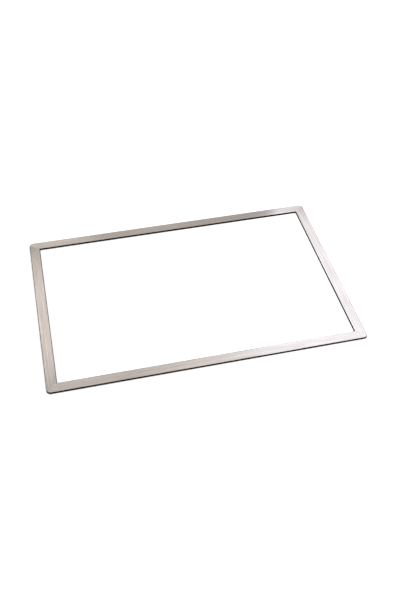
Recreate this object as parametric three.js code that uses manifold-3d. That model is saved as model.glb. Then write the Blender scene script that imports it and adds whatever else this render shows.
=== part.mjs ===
// Baking frame: a flat rectangular frame of four steel bars, mitred, welded and ground at the corners.
// Millimetres, +Z up. The origin is on the underside, in the middle of the opening. +X is the long way.

import * as THREE from 'three';
import { mergeVertices, toCreasedNormals } from 'three/addons/utils/BufferGeometryUtils.js';
import Module from 'manifold-3d';

// Outside of the finished frame, which drops into a baker's sheet of the same nominal size
const FRAME_LENGTH = 600;
const FRAME_WIDTH = 400;

// Flat bar that the sides are cut from, with its rolled edges
const BAR_WIDTH = 20;
const BAR_THICKNESS = 4;
const EDGE_RADIUS = 0.9;

// Round that is ground on each outer corner after welding
const CORNER_RADIUS = 8;

// Weld groove between two mitred bar ends: a V, in degrees, that stands on an upright root
const GROOVE_ANGLE = 60;
const ROOT_HEIGHT = 1;
const ROOT_WIDTH = 1;

// Space left all along the groove between the bead and the bar ends that it joins
const BEAD_CLEARANCE = 0.3;

// How far the raw bead stands out of both faces before it is ground flush
const BEAD_EXCESS = 1;

// Straight steps in a quarter of the corner's round (two per count) and of a rolled edge
const CORNER_STEPS = 6;
const EDGE_STEPS = 3;

// Neighbouring facets that meet within this angle are shaded as one smooth surface
const CREASE_ANGLE = THREE.MathUtils.degToRad(32);

// The sides in turn, each with the weld at its right-hand end as seen from outside the frame
const SIDES = [
  { bar: 'front_bar', weld: 'front_right_weld', length: FRAME_LENGTH, distance: FRAME_WIDTH / 2 },
  { bar: 'right_bar', weld: 'back_right_weld', length: FRAME_WIDTH, distance: FRAME_LENGTH / 2 },
  { bar: 'back_bar', weld: 'back_left_weld', length: FRAME_LENGTH, distance: FRAME_WIDTH / 2 },
  { bar: 'left_bar', weld: 'front_left_weld', length: FRAME_WIDTH, distance: FRAME_LENGTH / 2 },
];

const wasm = await Module();
wasm.setup();

// Closed solid from a geometry, ready to be joined and cut
function toSolid(geometry) {
  const bare = geometry.clone();
  bare.deleteAttribute('normal');
  bare.deleteAttribute('uv');
  const merged = mergeVertices(bare);
  const mesh = new wasm.Mesh({
    numProp: 3,
    vertProperties: new Float32Array(merged.attributes.position.array),
    triVerts: new Uint32Array(merged.index.array),
  });
  return new wasm.Manifold(mesh);
}

// Geometry of a finished solid, smooth on its rounds and crisp at its corners
function toGeometry(solid) {
  const mesh = solid.getMesh();
  const geometry = new THREE.BufferGeometry();
  geometry.setAttribute('position', new THREE.BufferAttribute(mesh.vertProperties, mesh.numProp));
  geometry.setIndex(new THREE.BufferAttribute(mesh.triVerts, 1));
  return toCreasedNormals(geometry, CREASE_ANGLE);
}

// Plate of an outline in the bar's thickness, its underside at zero, with rolled edges all round
function rolledPlate(outline) {
  const plate = new THREE.ExtrudeGeometry(outline, {
    depth: BAR_THICKNESS - 2 * EDGE_RADIUS,
    bevelThickness: EDGE_RADIUS,
    bevelSize: EDGE_RADIUS,
    bevelOffset: -EDGE_RADIUS,
    bevelSegments: EDGE_STEPS,
    curveSegments: CORNER_STEPS,
  });
  return plate.translate(0, 0, EDGE_RADIUS);
}

// Plan of a bar before its ends are mitred: outer edge along X, width towards +Y, outer corners round
function barOutline(length) {
  const end = length / 2;
  const roundStart = end - CORNER_RADIUS;
  const outline = new THREE.Shape();
  outline.moveTo(-roundStart, 0);
  outline.lineTo(roundStart, 0);
  outline.absarc(roundStart, CORNER_RADIUS, CORNER_RADIUS, -Math.PI / 2, 0, false);
  outline.lineTo(end, BAR_WIDTH);
  outline.lineTo(-end, BAR_WIDTH);
  outline.lineTo(-end, CORNER_RADIUS);
  outline.absarc(-roundStart, CORNER_RADIUS, CORNER_RADIUS, Math.PI, 1.5 * Math.PI, false);
  return outline;
}

// Plan of a finished corner, for its bead: the sharp outer corner is at the origin, one leg runs along
// -X and one along +Y, and the inner corner stays sharp
function cornerOutline() {
  const leg = 2 * BAR_WIDTH;
  const outline = new THREE.Shape();
  outline.moveTo(-leg, 0);
  outline.lineTo(-CORNER_RADIUS, 0);
  outline.absarc(-CORNER_RADIUS, CORNER_RADIUS, CORNER_RADIUS, -Math.PI / 2, 0, false);
  outline.lineTo(0, leg);
  outline.lineTo(-BAR_WIDTH, leg);
  outline.lineTo(-BAR_WIDTH, BAR_WIDTH);
  outline.lineTo(-leg, BAR_WIDTH);
  outline.closePath();
  return outline;
}

// Distance from the mitre plane to the side of the bead, at a height above the underside
function beadHalfWidth(height) {
  const slope = Math.tan(THREE.MathUtils.degToRad(GROOVE_ANGLE / 2));
  return ROOT_WIDTH / 2 + Math.max(0, height - ROOT_HEIGHT) * slope;
}

// Section of the raw bead across the mitre, standing out of both faces
function beadSection() {
  const top = BAR_THICKNESS + BEAD_EXCESS;
  const section = new THREE.Shape();
  section.moveTo(-beadHalfWidth(0), -BEAD_EXCESS);
  section.lineTo(beadHalfWidth(0), -BEAD_EXCESS);
  section.lineTo(beadHalfWidth(0), ROOT_HEIGHT);
  section.lineTo(beadHalfWidth(top), top);
  section.lineTo(-beadHalfWidth(top), top);
  section.lineTo(-beadHalfWidth(0), ROOT_HEIGHT);
  section.closePath();
  return section;
}

// Section across the mitre of what is cut off a bar's end: past the mitre, and back to the groove's flank
function offcutSection(end) {
  const top = BAR_THICKNESS + BEAD_EXCESS;
  const rootFlank = beadHalfWidth(0) + BEAD_CLEARANCE;
  const topFlank = beadHalfWidth(top) + BEAD_CLEARANCE;
  const section = new THREE.Shape();
  section.moveTo(-end * BAR_WIDTH, -BEAD_EXCESS);
  section.lineTo(end * rootFlank, -BEAD_EXCESS);
  section.lineTo(end * rootFlank, ROOT_HEIGHT);
  section.lineTo(end * topFlank, top);
  section.lineTo(-end * BAR_WIDTH, top);
  section.closePath();
  return section;
}

// A section run along the mitre, from outside the outer corner at the origin to inside the opening.
// An end of 1 is a bar's right-hand end and -1 its left-hand end.
function alongMitre(section, end) {
  const overrun = BAR_WIDTH;
  const depth = Math.SQRT2 * BAR_WIDTH + 2 * overrun;
  const prism = new THREE.ExtrudeGeometry(section, { depth, bevelEnabled: false });
  prism.translate(0, 0, -overrun);
  prism.rotateX(Math.PI / 2);
  prism.rotateZ(-end * THREE.MathUtils.degToRad(135));
  return prism;
}

// One side of the frame: a flat bar with both ends mitred, bevelled for welding and rounded outside
function barGeometry(length) {
  let bar = toSolid(rolledPlate(barOutline(length)));
  for (const end of [-1, 1]) {
    const offcut = alongMitre(offcutSection(end), end);
    offcut.translate(end * length / 2, 0, 0);
    bar = bar.subtract(toSolid(offcut));
  }
  return toGeometry(bar);
}

// One corner weld: the raw bead in its groove, ground flush with both faces, the round and the inner corner
function weldGeometry() {
  const rawBead = toSolid(alongMitre(beadSection(), 1));
  return toGeometry(rawBead.intersect(toSolid(rolledPlate(cornerOutline()))));
}

// Hairline-brushed stainless steel of the bars
function barSteel() {
  return new THREE.MeshStandardMaterial({ color: 0xcbc3bd, roughness: 0.38, metalness: 1 });
}

// Stainless filler of the welds, ground with a finer grit than the bars
function weldSteel() {
  return new THREE.MeshStandardMaterial({ color: 0xd0c9c3, roughness: 0.32, metalness: 1 });
}

const frame = new THREE.Group();
SIDES.forEach(({ bar, weld, length, distance }, quarterTurns) => {
  const side = new THREE.Group();
  side.rotation.z = quarterTurns * Math.PI / 2;
  frame.add(side);

  const barMesh = new THREE.Mesh(barGeometry(length), barSteel());
  barMesh.name = bar;
  barMesh.position.set(0, -distance, 0);
  side.add(barMesh);

  const weldMesh = new THREE.Mesh(weldGeometry(), weldSteel());
  weldMesh.name = weld;
  weldMesh.position.set(length / 2, -distance, 0);
  side.add(weldMesh);
});

export default frame;
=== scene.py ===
# Baking frame: the looks of a flat stainless steel frame, in metres and +Z up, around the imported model.
import math

import bpy
from mathutils import Matrix, Vector


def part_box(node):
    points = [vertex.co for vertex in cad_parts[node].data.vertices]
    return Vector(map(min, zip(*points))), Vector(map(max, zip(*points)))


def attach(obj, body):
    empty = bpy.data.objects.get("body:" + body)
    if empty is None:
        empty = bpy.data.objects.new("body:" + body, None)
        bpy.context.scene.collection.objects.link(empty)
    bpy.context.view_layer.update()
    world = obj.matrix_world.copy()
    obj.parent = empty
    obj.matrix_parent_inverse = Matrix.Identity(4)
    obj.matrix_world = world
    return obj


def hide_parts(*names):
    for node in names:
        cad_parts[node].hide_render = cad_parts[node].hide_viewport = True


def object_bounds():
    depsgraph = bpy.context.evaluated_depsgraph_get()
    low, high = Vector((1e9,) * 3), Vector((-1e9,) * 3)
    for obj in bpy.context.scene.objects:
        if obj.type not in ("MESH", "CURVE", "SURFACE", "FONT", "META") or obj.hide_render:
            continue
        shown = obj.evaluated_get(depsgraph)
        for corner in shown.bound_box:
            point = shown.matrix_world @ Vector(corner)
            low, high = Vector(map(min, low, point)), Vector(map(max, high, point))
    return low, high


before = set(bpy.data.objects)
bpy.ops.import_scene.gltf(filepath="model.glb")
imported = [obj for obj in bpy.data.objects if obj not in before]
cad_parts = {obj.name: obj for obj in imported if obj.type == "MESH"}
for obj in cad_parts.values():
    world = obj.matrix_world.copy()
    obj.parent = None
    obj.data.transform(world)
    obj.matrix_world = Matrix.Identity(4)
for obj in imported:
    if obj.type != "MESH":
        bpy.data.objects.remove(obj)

cad_low, cad_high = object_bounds()


# Flat bars
# The four sides are lengths of stainless flat bar with rolled edges, mitred at both ends. A belt brushes
# their broad faces along the bar. It doesn't reach the edges, which are painted near black: painted shade
# in place of the dark surroundings that they mirror.

bar_low, bar_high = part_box("front_bar")
FRAME_LENGTH = cad_high.x - cad_low.x
FRAME_WIDTH = cad_high.y - cad_low.y
BAR_WIDTH = bar_high.y - bar_low.y
BAR_THICKNESS = bar_high.z - bar_low.z
EDGE_RADIUS = 0.0009
CORNER_RADIUS = 0.008

# Angle of a mitre to its bar, and its length for each unit of bar width
MITRE_ANGLE = math.radians(45)
MITRE_SLANT = math.sqrt(2)

# Widths of the weld in a mitre, at the underside and at the top
WELD_ROOT_WIDTH = 0.0013
WELD_FACE_WIDTH = 0.0048

# A bar's stations count from its middle: to 1 along its straight length, and on to 2 along its end
STRAIGHT_REACH = 1.0
BAR_REACH = 2.0
BAR_STATIONS = 49

# Facets on the quarter round of a rolled edge, and the angle past which two facets meet in a crease
EDGE_STEPS = 6
CREASE_ANGLE = math.radians(35)

# A face whose normal is upright by more than this share is one of the flats
FLAT_LEVEL = 0.9999

# Colours of the steel's bright and dull streaks, its roughness, and how much that differs between them
STEEL_BRIGHT = "#E4DBD4"
STEEL_DULL = "#BAB1AA"
STEEL_ROUGHNESS = 0.28
ROUGHNESS_SPREAD = 0.01

# Brushing draws out what the steel mirrors as far as it can, at a quarter turn to the grain
MIRROR_STRETCH = 1.0
STRETCH_TURN = 0.25

# A belt leaves hairlines about 0.1 mm apart. They are drawn far coarser, so that they show in the render.
HAIRLINE_SPACING = 0.0016
HAIRLINE_LENGTH = 0.09
HAIRLINE_DEPTH = 0.00004

# Finer layers on top of these hairlines, and the strength of each against the one before
HAIRLINE_LAYERS = 6.0
HAIRLINE_LAYER_SHARE = 0.75

# The passes of the belt show as broad, faint streaks behind the hairlines
BELT_PASS_WIDTH = 0.0035
BELT_PASS_LENGTH = 2.0
BELT_PASS_LAYERS = 1.0
BELT_PASS_SHARE = 0.15

# Sums of both at which the steel is dull or bright
DULL_STREAK = 0.375
BRIGHT_STREAK = 0.775

# Share of the drop down an edge by which the grain goes on across
EDGE_GRAIN_SHARE = 0.4

# Painted shade on the edges: untouched, where handling has rubbed it, and seen flat along
EDGE_PAINTED_SHADE = "#120F0C"
EDGE_PAINTED_SHADE_RUBBED = "#26211D"
EDGE_PAINTED_SHADE_GRAZING = "#202020"
DARK_EDGE_ROUGHNESS = 0.9
RUBBED_EDGE_ROUGHNESS = 0.6
RUBBING_SIZE = 0.012
RUBBING_LAYERS = 5.0
RUBBING_LAYER_SHARE = 0.6

# Places of the two colours among the inputs of a mix node, and of the mixed colour among its outputs
MIX_FROM = 6
MIX_TO = 7
MIX_RESULT = 2


def linear(hex_colour):
    """Linear colour, with full alpha, of an sRGB hex value, by the curve that sRGB defines."""
    shares = [int(hex_colour[i:i + 2], 16) / 255 for i in (1, 3, 5)]
    return [s / 12.92 if s <= 0.04045 else ((s + 0.055) / 1.055) ** 2.4 for s in shares] + [1.0]


def add(tree, kind, inputs=(), **settings):
    """Adds a node whose inputs, in order or by name, take a value, a socket or a node's first output."""
    node = tree.nodes.new(kind)
    for name, value in settings.items():
        setattr(node, name, value)
    keyed = inputs.items() if isinstance(inputs, dict) else enumerate(inputs)
    for key, source in keyed:
        if isinstance(source, bpy.types.Node):
            source = source.outputs[0]
        if isinstance(source, bpy.types.NodeSocket):
            tree.links.new(source, node.inputs[key])
        else:
            node.inputs[key].default_value = source
    return node


def new_material(name):
    """An empty material and its node tree."""
    material = bpy.data.materials.new(name)
    material.use_nodes = True
    material.node_tree.nodes.clear()
    return material, material.node_tree


def brushed_stainless(name, bright, dull, spacing, roughness):
    """Stainless steel brushed along the grain map's first axis, with hairlines this far apart.

    The eye gets long pale and dull streaks along the grain. What the steel mirrors stays fairly sharp
    along the grain and is drawn out across it.
    """
    material, tree = new_material(name)
    grain = add(tree, "ShaderNodeUVMap", uv_map="grain")
    hairline_place = add(tree, "ShaderNodeMapping", {
        "Vector": grain, "Scale": (1 / HAIRLINE_LENGTH, 1 / spacing, 1)})
    hairlines = add(tree, "ShaderNodeTexNoise", {
        "Vector": hairline_place, "Scale": 1.0, "Detail": HAIRLINE_LAYERS,
        "Roughness": HAIRLINE_LAYER_SHARE}, noise_dimensions="2D")
    pass_place = add(tree, "ShaderNodeMapping", {
        "Vector": grain, "Scale": (1 / BELT_PASS_LENGTH, 1 / BELT_PASS_WIDTH, 1)})
    passes = add(tree, "ShaderNodeTexNoise", {
        "Vector": pass_place, "Scale": 1.0, "Detail": BELT_PASS_LAYERS}, noise_dimensions="2D")
    streaks = add(tree, "ShaderNodeMath", [passes, BELT_PASS_SHARE, hairlines], operation="MULTIPLY_ADD")
    brightness = add(tree, "ShaderNodeMapRange", {
        "Value": streaks, "From Min": DULL_STREAK, "From Max": BRIGHT_STREAK})
    colour = add(tree, "ShaderNodeMix", {
        "Factor": brightness, MIX_FROM: linear(dull), MIX_TO: linear(bright)}, data_type="RGBA")
    gloss = add(tree, "ShaderNodeMapRange", {
        "Value": brightness, "To Min": roughness + ROUGHNESS_SPREAD,
        "To Max": roughness - ROUGHNESS_SPREAD})
    scratches = add(tree, "ShaderNodeBump", {"Distance": HAIRLINE_DEPTH, "Height": hairlines})
    along_grain = add(tree, "ShaderNodeTangent", direction_type="UV_MAP", uv_map="grain")
    steel = add(tree, "ShaderNodeBsdfPrincipled", {
        "Base Color": colour.outputs[MIX_RESULT], "Metallic": 1.0, "Roughness": gloss,
        "Normal": scratches, "Tangent": along_grain, "Anisotropic": MIRROR_STRETCH,
        "Anisotropic Rotation": STRETCH_TURN})
    add(tree, "ShaderNodeOutputMaterial", {"Surface": steel})
    return material


brushed_steel = brushed_stainless(
    "brushed_stainless", STEEL_BRIGHT, STEEL_DULL, HAIRLINE_SPACING, STEEL_ROUGHNESS)

# Painted shade on the edges: dull and almost black, seen flat along too, and a little paler where handling
# has rubbed it. The black stands in for the dark surroundings that the edges mirror.
edge_painted_shade, tree = new_material("dark_edge_painted_shade")
place = add(tree, "ShaderNodeTexCoord")
rubbing = add(tree, "ShaderNodeTexNoise", {
    "Vector": place.outputs["Object"], "Scale": 1 / RUBBING_SIZE, "Detail": RUBBING_LAYERS,
    "Roughness": RUBBING_LAYER_SHARE})
edge_painted_shade_colour = add(tree, "ShaderNodeMix", {
    "Factor": rubbing, MIX_FROM: linear(EDGE_PAINTED_SHADE), MIX_TO: linear(EDGE_PAINTED_SHADE_RUBBED)}, data_type="RGBA")
dark_edge_gloss = add(tree, "ShaderNodeMapRange", {
    "Value": rubbing, "To Min": DARK_EDGE_ROUGHNESS, "To Max": RUBBED_EDGE_ROUGHNESS})
edge_painted_shade_bsdf = add(tree, "ShaderNodeBsdfPrincipled", {
    "Base Color": edge_painted_shade_colour.outputs[MIX_RESULT], "Metallic": 1.0, "Roughness": dark_edge_gloss,
    "Specular Tint": linear(EDGE_PAINTED_SHADE_GRAZING)})
add(tree, "ShaderNodeOutputMaterial", {"Surface": edge_painted_shade_bsdf})

# Named inputs of the bar's shape and of the weld's
SIZE_INPUTS = (
    "Length", "Distance", "Turn", "Bar Width", "Thickness", "Edge Radius", "Corner Radius", "Weld Root",
    "Weld Face")
# The edge input takes the near-black painted shade
FINISH_INPUTS = ("Face Finish", "Edge Painted Shade")


def new_shape(name):
    """An empty shape tree and its named inputs."""
    tree = bpy.data.node_groups.new(name, "GeometryNodeTree")
    for size in SIZE_INPUTS:
        tree.interface.new_socket(size, in_out="INPUT", socket_type="NodeSocketFloat")
    for finish in FINISH_INPUTS:
        tree.interface.new_socket(finish, in_out="INPUT", socket_type="NodeSocketMaterial")
    tree.interface.new_socket("Geometry", in_out="OUTPUT", socket_type="NodeSocketGeometry")
    return tree, add(tree, "NodeGroupInput").outputs


def rolled_section(tree, given, reach, stations):
    """The bar's section with its rolled edges, run along X over stations from -reach to reach.

    Returns the run and, for each point, its station, its depth from the outer edge, its height over the
    underside and whether it is on the inner half of the width.
    """
    section = add(tree, "GeometryNodeCurvePrimitiveQuadrilateral", [
        given["Bar Width"], given["Thickness"]])
    rolled = add(tree, "GeometryNodeFilletCurve", {
        "Curve": section, "Count": EDGE_STEPS, "Radius": given["Edge Radius"]}, mode="POLY")
    line = add(tree, "GeometryNodeCurvePrimitiveLine", {"Start": (-reach, 0, 0), "End": (reach, 0, 0)})
    path = add(tree, "GeometryNodeResampleCurve", {"Curve": line, "Count": stations})
    run = add(tree, "GeometryNodeCurveToMesh", {
        "Curve": path, "Profile Curve": rolled, "Fill Caps": True})
    place = add(tree, "ShaderNodeSeparateXYZ", [add(tree, "GeometryNodeInputPosition")])
    station, across, up = place.outputs
    depth = add(tree, "ShaderNodeMath", [given["Bar Width"], 0.5, across], operation="MULTIPLY_ADD")
    height = add(tree, "ShaderNodeMath", [given["Thickness"], 0.5, up], operation="MULTIPLY_ADD")
    inner = add(tree, "ShaderNodeMath", [across, 0.0], operation="GREATER_THAN")
    return run, station, depth, height, inner


def weld_half_width(tree, given, height):
    """Distance from the mitre to the weld's side at a height: narrow at its root, wide at its face."""
    opening = add(tree, "ShaderNodeMath", [given["Weld Face"], given["Weld Root"]], operation="SUBTRACT")
    rise = add(tree, "ShaderNodeMath", [height, given["Thickness"]], operation="DIVIDE")
    width = add(tree, "ShaderNodeMath", [rise, opening, given["Weld Root"]], operation="MULTIPLY_ADD")
    return add(tree, "ShaderNodeMath", [width, 0.5], operation="MULTIPLY")


def store_grain(tree, shape, start):
    """Stores the grain map: metres along X from a start, and metres across, which go on down the edges."""
    here = add(tree, "ShaderNodeSeparateXYZ", [add(tree, "GeometryNodeInputPosition")])
    along = add(tree, "ShaderNodeMath", [here.outputs["X"], start], operation="ADD")
    across = add(tree, "ShaderNodeMath", [
        here.outputs["Z"], EDGE_GRAIN_SHARE, here.outputs["Y"]], operation="MULTIPLY_ADD")
    grain = add(tree, "ShaderNodeCombineXYZ", [along, across])
    return add(tree, "GeometryNodeStoreNamedAttribute", {
        "Geometry": shape, "Name": "grain", "Value": grain}, data_type="FLOAT2", domain="CORNER")


def set_in_place(tree, given, shape, along):
    """Moves a shape to its place on the front side, then turns it about the upright to its own side."""
    aside = add(tree, "ShaderNodeMath", [given["Distance"], -1.0], operation="MULTIPLY")
    offset = add(tree, "ShaderNodeCombineXYZ", [along, aside])
    shape = add(tree, "GeometryNodeTransform", {"Geometry": shape, "Translation": offset})
    turn = add(tree, "ShaderNodeCombineXYZ", {"Z": given["Turn"]})
    return add(tree, "GeometryNodeTransform", {"Geometry": shape, "Rotation": turn})


def finish_shape(tree, given, shape):
    """Shades the flats flat and the rolled edges smooth, gives both their finishes and ends the tree."""
    normal = add(tree, "GeometryNodeInputNormal")
    facing = add(tree, "ShaderNodeSeparateXYZ", [normal.outputs["True Normal"]])
    level = add(tree, "ShaderNodeMath", [facing.outputs["Z"]], operation="ABSOLUTE")
    flat = add(tree, "ShaderNodeMath", [level, FLAT_LEVEL], operation="GREATER_THAN")
    # Faces that aren't flats: the edges, which get the near-black painted shade
    painted_shade_faces = add(tree, "ShaderNodeMath", [level, FLAT_LEVEL], operation="LESS_THAN")
    bend = add(tree, "GeometryNodeInputMeshEdgeAngle")
    crease = add(tree, "ShaderNodeMath", [bend, CREASE_ANGLE], operation="GREATER_THAN")
    shape = add(tree, "GeometryNodeSetShadeSmooth", [shape, crease, False], domain="EDGE")
    shape = add(tree, "GeometryNodeSetShadeSmooth", [shape, flat, False], domain="FACE")
    shape = add(tree, "GeometryNodeRealizeInstances", [shape])
    shape = add(tree, "GeometryNodeSetMaterial", {"Geometry": shape, "Material": given["Face Finish"]})
    shape = add(tree, "GeometryNodeSetMaterial", {
        "Geometry": shape, "Selection": painted_shade_faces, "Material": given["Edge Painted Shade"]})
    add(tree, "NodeGroupOutput", [shape])


def make_piece(name, tree, sizes):
    """A new object whose plain mesh is what the tree gives for these sizes and finishes."""
    piece = bpy.data.objects.new(name, bpy.data.meshes.new(name))
    bpy.context.scene.collection.objects.link(piece)
    shape = piece.modifiers.new("shape", "NODES")
    shape.node_group = tree
    for socket in tree.interface.items_tree:
        if socket.in_out == "INPUT":
            shape[socket.identifier] = sizes[socket.name]
    graph = bpy.context.evaluated_depsgraph_get()
    mesh = bpy.data.meshes.new_from_object(piece.evaluated_get(graph), depsgraph=graph)
    piece.modifiers.remove(shape)
    piece.data = mesh
    return piece


# Shape of a bar: the section runs straight along the bar. At each end its outer half follows the ground
# round of the corner, its inner half goes on to the mitre, and both stop at the weld's side.
bar_shape, given = new_shape("mitred_flat_bar")
tree = bar_shape
run, station, depth, height, inner = rolled_section(tree, given, BAR_REACH, BAR_STATIONS)
weld_half = weld_half_width(tree, given, height)
from_middle = add(tree, "ShaderNodeMath", [station], operation="ABSOLUTE")
straight = add(tree, "ShaderNodeMath", [from_middle, STRAIGHT_REACH], operation="MINIMUM")
turning = add(tree, "ShaderNodeMath", [from_middle, straight], operation="SUBTRACT")
end = add(tree, "ShaderNodeMath", [station], operation="SIGN")
half_length = add(tree, "ShaderNodeMath", [given["Length"], 0.5], operation="MULTIPLY")

# Outer half: straight to the start of the round, then on a ring about its centre
ring = add(tree, "ShaderNodeMath", [given["Corner Radius"], depth], operation="SUBTRACT")
weld_share = add(tree, "ShaderNodeMath", [weld_half, ring], operation="DIVIDE")
weld_angle = add(tree, "ShaderNodeMath", [weld_share], operation="ARCSINE")
last_angle = add(tree, "ShaderNodeMath", [MITRE_ANGLE, weld_angle], operation="SUBTRACT")
angle = add(tree, "ShaderNodeMath", [turning, last_angle], operation="MULTIPLY")
sine = add(tree, "ShaderNodeMath", [angle], operation="SINE")
cosine = add(tree, "ShaderNodeMath", [angle], operation="COSINE")
round_start = add(tree, "ShaderNodeMath", [half_length, given["Corner Radius"]], operation="SUBTRACT")
past_start = add(tree, "ShaderNodeMath", [ring, sine], operation="MULTIPLY")
outer_along = add(tree, "ShaderNodeMath", [straight, round_start, past_start], operation="MULTIPLY_ADD")
from_centre = add(tree, "ShaderNodeMath", [ring, cosine], operation="MULTIPLY")
outer_across = add(tree, "ShaderNodeMath", [given["Corner Radius"], from_centre], operation="SUBTRACT")

# Inner half: straight to a bar width short of the weld's side, then on to that side
setback = add(tree, "ShaderNodeMath", [weld_half, MITRE_SLANT, depth], operation="MULTIPLY_ADD")
inner_end = add(tree, "ShaderNodeMath", [half_length, setback], operation="SUBTRACT")
fan_start = add(tree, "ShaderNodeMath", [inner_end, given["Bar Width"]], operation="SUBTRACT")
fan = add(tree, "ShaderNodeMath", [turning, given["Bar Width"]], operation="MULTIPLY")
inner_along = add(tree, "ShaderNodeMath", [straight, fan_start, fan], operation="MULTIPLY_ADD")

along = add(tree, "GeometryNodeSwitch", [inner, outer_along, inner_along], input_type="FLOAT")
across = add(tree, "GeometryNodeSwitch", [inner, outer_across, depth], input_type="FLOAT")
signed_along = add(tree, "ShaderNodeMath", [along, end], operation="MULTIPLY")
point = add(tree, "ShaderNodeCombineXYZ", [signed_along, across, height])
shape = add(tree, "GeometryNodeSetPosition", {"Geometry": run, "Position": point})
# Each side's grain starts elsewhere, so that no two bars are alike
shape = store_grain(tree, shape, given["Turn"])
shape = set_in_place(tree, given, shape, 0.0)
finish_shape(tree, given, shape)

# The sides in turn, each with the weld at its right-hand end as seen from outside the frame
SIDES = [
    ("front_bar", "front_right_weld", FRAME_LENGTH, FRAME_WIDTH / 2),
    ("right_bar", "back_right_weld", FRAME_WIDTH, FRAME_LENGTH / 2),
    ("back_bar", "back_left_weld", FRAME_LENGTH, FRAME_WIDTH / 2),
    ("left_bar", "front_left_weld", FRAME_WIDTH, FRAME_LENGTH / 2)]
# The edges of every piece get the near-black painted shade
STOCK_SIZES = {
    "Bar Width": BAR_WIDTH, "Thickness": BAR_THICKNESS, "Edge Radius": EDGE_RADIUS,
    "Corner Radius": CORNER_RADIUS, "Weld Root": WELD_ROOT_WIDTH, "Weld Face": WELD_FACE_WIDTH,
    "Edge Painted Shade": edge_painted_shade}
for quarter, (bar_node, weld_node, length, distance) in enumerate(SIDES):
    bar = make_piece("brushed_" + bar_node, bar_shape, {
        **STOCK_SIZES, "Length": length, "Distance": distance, "Turn": math.radians(90 * quarter),
        "Face Finish": brushed_steel})
    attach(bar, "root")
    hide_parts(bar_node)


# Corner welds
# Each mitre is closed by a bead of stainless filler in a V groove. The bead is ground flush with the bars
# on both faces and to the corner's round outside, and brushed the frame's long way, so it hardly shows.

WELD_BRIGHT = "#DCD5CF"
WELD_DULL = "#BDB6B0"
WELD_HAIRLINE_SPACING = 0.0012
WELD_ROUGHNESS = 0.27

# A weld's stations count from the mitre, to 1 at its sides
WELD_REACH = 1.0
WELD_STATIONS = 9

# Linished weld: the same steel as the bars, with finer and fainter hairlines
linished_weld = brushed_stainless(
    "linished_weld", WELD_BRIGHT, WELD_DULL, WELD_HAIRLINE_SPACING, WELD_ROUGHNESS)

# Shape of a weld: the section runs across the mitre, its outer half on the round of the corner and its
# inner half along the two inner edges, which meet at a sharp corner
weld_shape, given = new_shape("corner_weld")
tree = weld_shape
run, station, depth, height, inner = rolled_section(tree, given, WELD_REACH, WELD_STATIONS)
weld_half = weld_half_width(tree, given, height)
sideways = add(tree, "ShaderNodeMath", [station, weld_half], operation="MULTIPLY")
ring = add(tree, "ShaderNodeMath", [given["Corner Radius"], depth], operation="SUBTRACT")
ring_square = add(tree, "ShaderNodeMath", [ring, ring], operation="MULTIPLY")
side_square = add(tree, "ShaderNodeMath", [sideways, sideways], operation="MULTIPLY")
bow_square = add(tree, "ShaderNodeMath", [ring_square, side_square], operation="SUBTRACT")
bow = add(tree, "ShaderNodeMath", [bow_square], operation="SQRT")
centre = add(tree, "ShaderNodeMath", [given["Corner Radius"], MITRE_SLANT], operation="MULTIPLY")
outer_inward = add(tree, "ShaderNodeMath", [centre, bow], operation="SUBTRACT")
spread = add(tree, "ShaderNodeMath", [sideways], operation="ABSOLUTE")
inner_inward = add(tree, "ShaderNodeMath", [depth, MITRE_SLANT, spread], operation="MULTIPLY_ADD")
inward = add(tree, "GeometryNodeSwitch", [inner, outer_inward, inner_inward], input_type="FLOAT")

# From sideways and inward on the front right corner's diagonal to along and across the front bar
along = add(tree, "ShaderNodeMath", [sideways, inward], operation="SUBTRACT")
across = add(tree, "ShaderNodeMath", [sideways, inward], operation="ADD")
diagonal = add(tree, "ShaderNodeCombineXYZ", [along, across])
plan = add(tree, "ShaderNodeVectorMath", {0: diagonal, "Scale": 1 / MITRE_SLANT}, operation="SCALE")
lift = add(tree, "ShaderNodeCombineXYZ", {"Z": height})
point = add(tree, "ShaderNodeVectorMath", [plan, lift], operation="ADD")
shape = add(tree, "GeometryNodeSetPosition", {"Geometry": run, "Position": point})
half_length = add(tree, "ShaderNodeMath", [given["Length"], 0.5], operation="MULTIPLY")
shape = set_in_place(tree, given, shape, half_length)
shape = store_grain(tree, shape, 0.0)
finish_shape(tree, given, shape)

for quarter, (bar_node, weld_node, length, distance) in enumerate(SIDES):
    weld = make_piece("linished_" + weld_node, weld_shape, {
        **STOCK_SIZES, "Length": length, "Distance": distance, "Turn": math.radians(90 * quarter),
        "Face Finish": linished_weld})
    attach(weld, "root")
    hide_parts(weld_node)


# Floor
# A plain pale studio floor, which isn't part of the object. It shows white to the camera and in the metal,
# and keeps the frame's soft shadow.

# The floor lies a hair below the frame, so that the two don't share a plane
FLOOR_REACH = 4.0
FLOOR_DROP = 0.0002
FLOOR_PAINT = "#E6E6E6"

# Glow that makes up the lit paint to white, and how near the frame it starts to fade
FLOOR_GLOW = 0.6
SHADOW_REACH = 0.003

floor_mesh = bpy.data.meshes.new("floor")
floor_corners = [
    (-FLOOR_REACH, -FLOOR_REACH, -FLOOR_DROP), (FLOOR_REACH, -FLOOR_REACH, -FLOOR_DROP),
    (FLOOR_REACH, FLOOR_REACH, -FLOOR_DROP), (-FLOOR_REACH, FLOOR_REACH, -FLOOR_DROP)]
floor_mesh.from_pydata(floor_corners, [], [(0, 1, 2, 3)])
floor = bpy.data.objects.new("floor", floor_mesh)
bpy.context.scene.collection.objects.link(floor)

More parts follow.
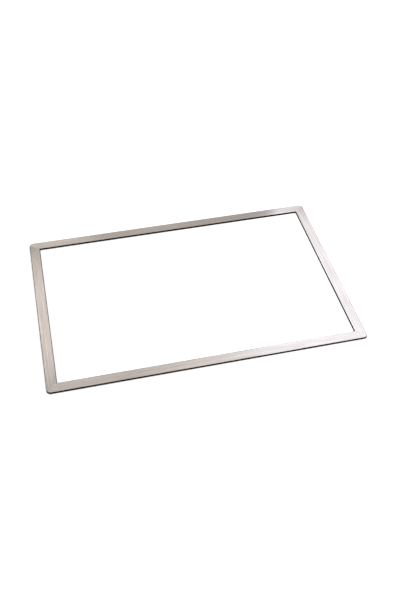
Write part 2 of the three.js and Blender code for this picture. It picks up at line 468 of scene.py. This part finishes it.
# Painted floor: matt and even, with a glow that only the camera, mirrors and glass see
pale_floor, tree = new_material("pale_floor")
path = add(tree, "ShaderNodeLightPath")
seen = add(tree, "ShaderNodeMath", [
    path.outputs["Is Camera Ray"], path.outputs["Is Glossy Ray"]], operation="MAXIMUM")
seen = add(tree, "ShaderNodeMath", [seen, path.outputs["Is Transmission Ray"]], operation="MAXIMUM")
open_sky = add(tree, "ShaderNodeAmbientOcclusion", {"Distance": SHADOW_REACH})
glow_level = add(tree, "ShaderNodeMath", [seen, FLOOR_GLOW], operation="MULTIPLY")
glow_level = add(tree, "ShaderNodeMath", [glow_level, open_sky.outputs["AO"]], operation="MULTIPLY")
paint = add(tree, "ShaderNodeBsdfDiffuse", {"Color": linear(FLOOR_PAINT)})
glow = add(tree, "ShaderNodeEmission", {"Strength": glow_level})
surface = add(tree, "ShaderNodeAddShader", [paint, glow])
add(tree, "ShaderNodeOutputMaterial", {"Surface": surface})
floor_mesh.materials.append(pale_floor)


# Light
# A plain studio: white low down, grey behind the frame and paler in front. A tall soft box leans over the
# frame from its back right corner, a small one hangs far behind it, and a long strip hangs overhead.

SURROUND_COLOUR = "#FFFBF7"
LEVEL_BEHIND = 0.45
LEVEL_IN_FRONT = 0.9

# Y of a direction down to which the level behind holds, and below which the level in front does
BEHIND_DOWN_TO = 0.1
IN_FRONT_FROM = -0.5

# Z of a direction up to which the surround is white, and from which none of that white is left
WHITE_UP_TO = 0.08
WHITE_GONE_FROM = 0.2

world = bpy.data.worlds.new("studio")
world.use_nodes = True
tree = world.node_tree
tree.nodes.clear()
towards = add(tree, "ShaderNodeSeparateXYZ", [add(tree, "ShaderNodeTexCoord").outputs["Generated"]])
level = add(tree, "ShaderNodeMapRange", {
    "Value": towards.outputs["Y"], "From Min": BEHIND_DOWN_TO, "From Max": IN_FRONT_FROM,
    "To Min": LEVEL_BEHIND, "To Max": LEVEL_IN_FRONT})
surround = add(tree, "ShaderNodeBackground", [linear(SURROUND_COLOUR), level])
white = add(tree, "ShaderNodeBackground", [linear("#FFFFFF"), 1.0])
low = add(tree, "ShaderNodeMapRange", {
    "Value": towards.outputs["Z"], "From Min": WHITE_GONE_FROM, "From Max": WHITE_UP_TO})
blend = add(tree, "ShaderNodeMixShader", [low, surround, white])
add(tree, "ShaderNodeOutputWorld", {"Surface": blend})
bpy.context.scene.world = world


def soft_box(name, foot, heading, dip, width, height, level, colour):
    """A flat lamp that has the middle of its foot edge at foot and is level times as bright as white.

    It faces heading, in degrees from +Y towards +X, and is tilted down by dip, in degrees too.
    """
    lamp = bpy.data.lights.new(name, "AREA")
    lamp.shape = "RECTANGLE"
    lamp.size = width
    lamp.size_y = height
    lamp.color = linear(colour)[:3]
    lamp.energy = level * math.pi * width * height
    holder = bpy.data.objects.new(name, lamp)
    bpy.context.scene.collection.objects.link(holder)
    tilted = Matrix.Rotation(math.radians(90 - dip), 3, "X")
    turned = Matrix.Rotation(math.radians(-heading), 3, "Z") @ tilted
    holder.rotation_euler = turned.to_euler()
    holder.location = Vector(foot) + turned @ Vector((0, height / 2, 0))


soft_box(
    "standing_soft_box", foot=(0.86, -0.07, 0.08), heading=213, dip=34, width=1.38, height=1.49,
    level=1.4, colour="#E7EFFF")
soft_box(
    "far_soft_box", foot=(-0.5, 1.9, 1.57), heading=165, dip=46, width=0.78, height=0.66,
    level=1.5, colour="#FFFFFF")
soft_box(
    "overhead_strip", foot=(0.22, -0.3, 2.0), heading=0, dip=90, width=0.56, height=1.6,
    level=0.8, colour="#FFFFFF")


# Camera
# It stands where the photograph was taken from: in front, a little to the left, looking down. Its lens and
# place are fitted to the straight edges of the frame there.

# Height of the picture and focal length, in pixels of the picture
PICTURE_HEIGHT = 601
FOCAL_LENGTH = 767.0

# Turn of the camera from +Y towards +X, its tilt below the level, and its roll, with its right side raised
HEADING = math.radians(13.48)
TILT = math.radians(46.15)
ROLL = math.radians(0.60)

# Where the camera sees the frame's origin: metres to its right, above its middle line and ahead of it
ORIGIN_RIGHT = -0.02217
ORIGIN_UP = 0.0224
ORIGIN_AHEAD = 1.52814

level_share = math.cos(TILT)
forward = Vector((math.sin(HEADING) * level_share, math.cos(HEADING) * level_share, -math.sin(TILT)))
level_right = Vector((math.cos(HEADING), -math.sin(HEADING), 0))
level_up = level_right.cross(forward)
right = math.cos(ROLL) * level_right + math.sin(ROLL) * level_up
up = math.cos(ROLL) * level_up - math.sin(ROLL) * level_right
camera_data = bpy.data.cameras.new("camera")
camera_data.lens = camera_data.sensor_width * FOCAL_LENGTH / PICTURE_HEIGHT
camera = bpy.data.objects.new("camera", camera_data)
bpy.context.scene.collection.objects.link(camera)
camera.rotation_euler = Matrix((right, up, -forward)).transposed().to_euler()
camera.location = -(ORIGIN_RIGHT * right + ORIGIN_UP * up + ORIGIN_AHEAD * forward)
bpy.context.scene.camera = camera
bpy.context.scene.view_settings.view_transform = "Standard"
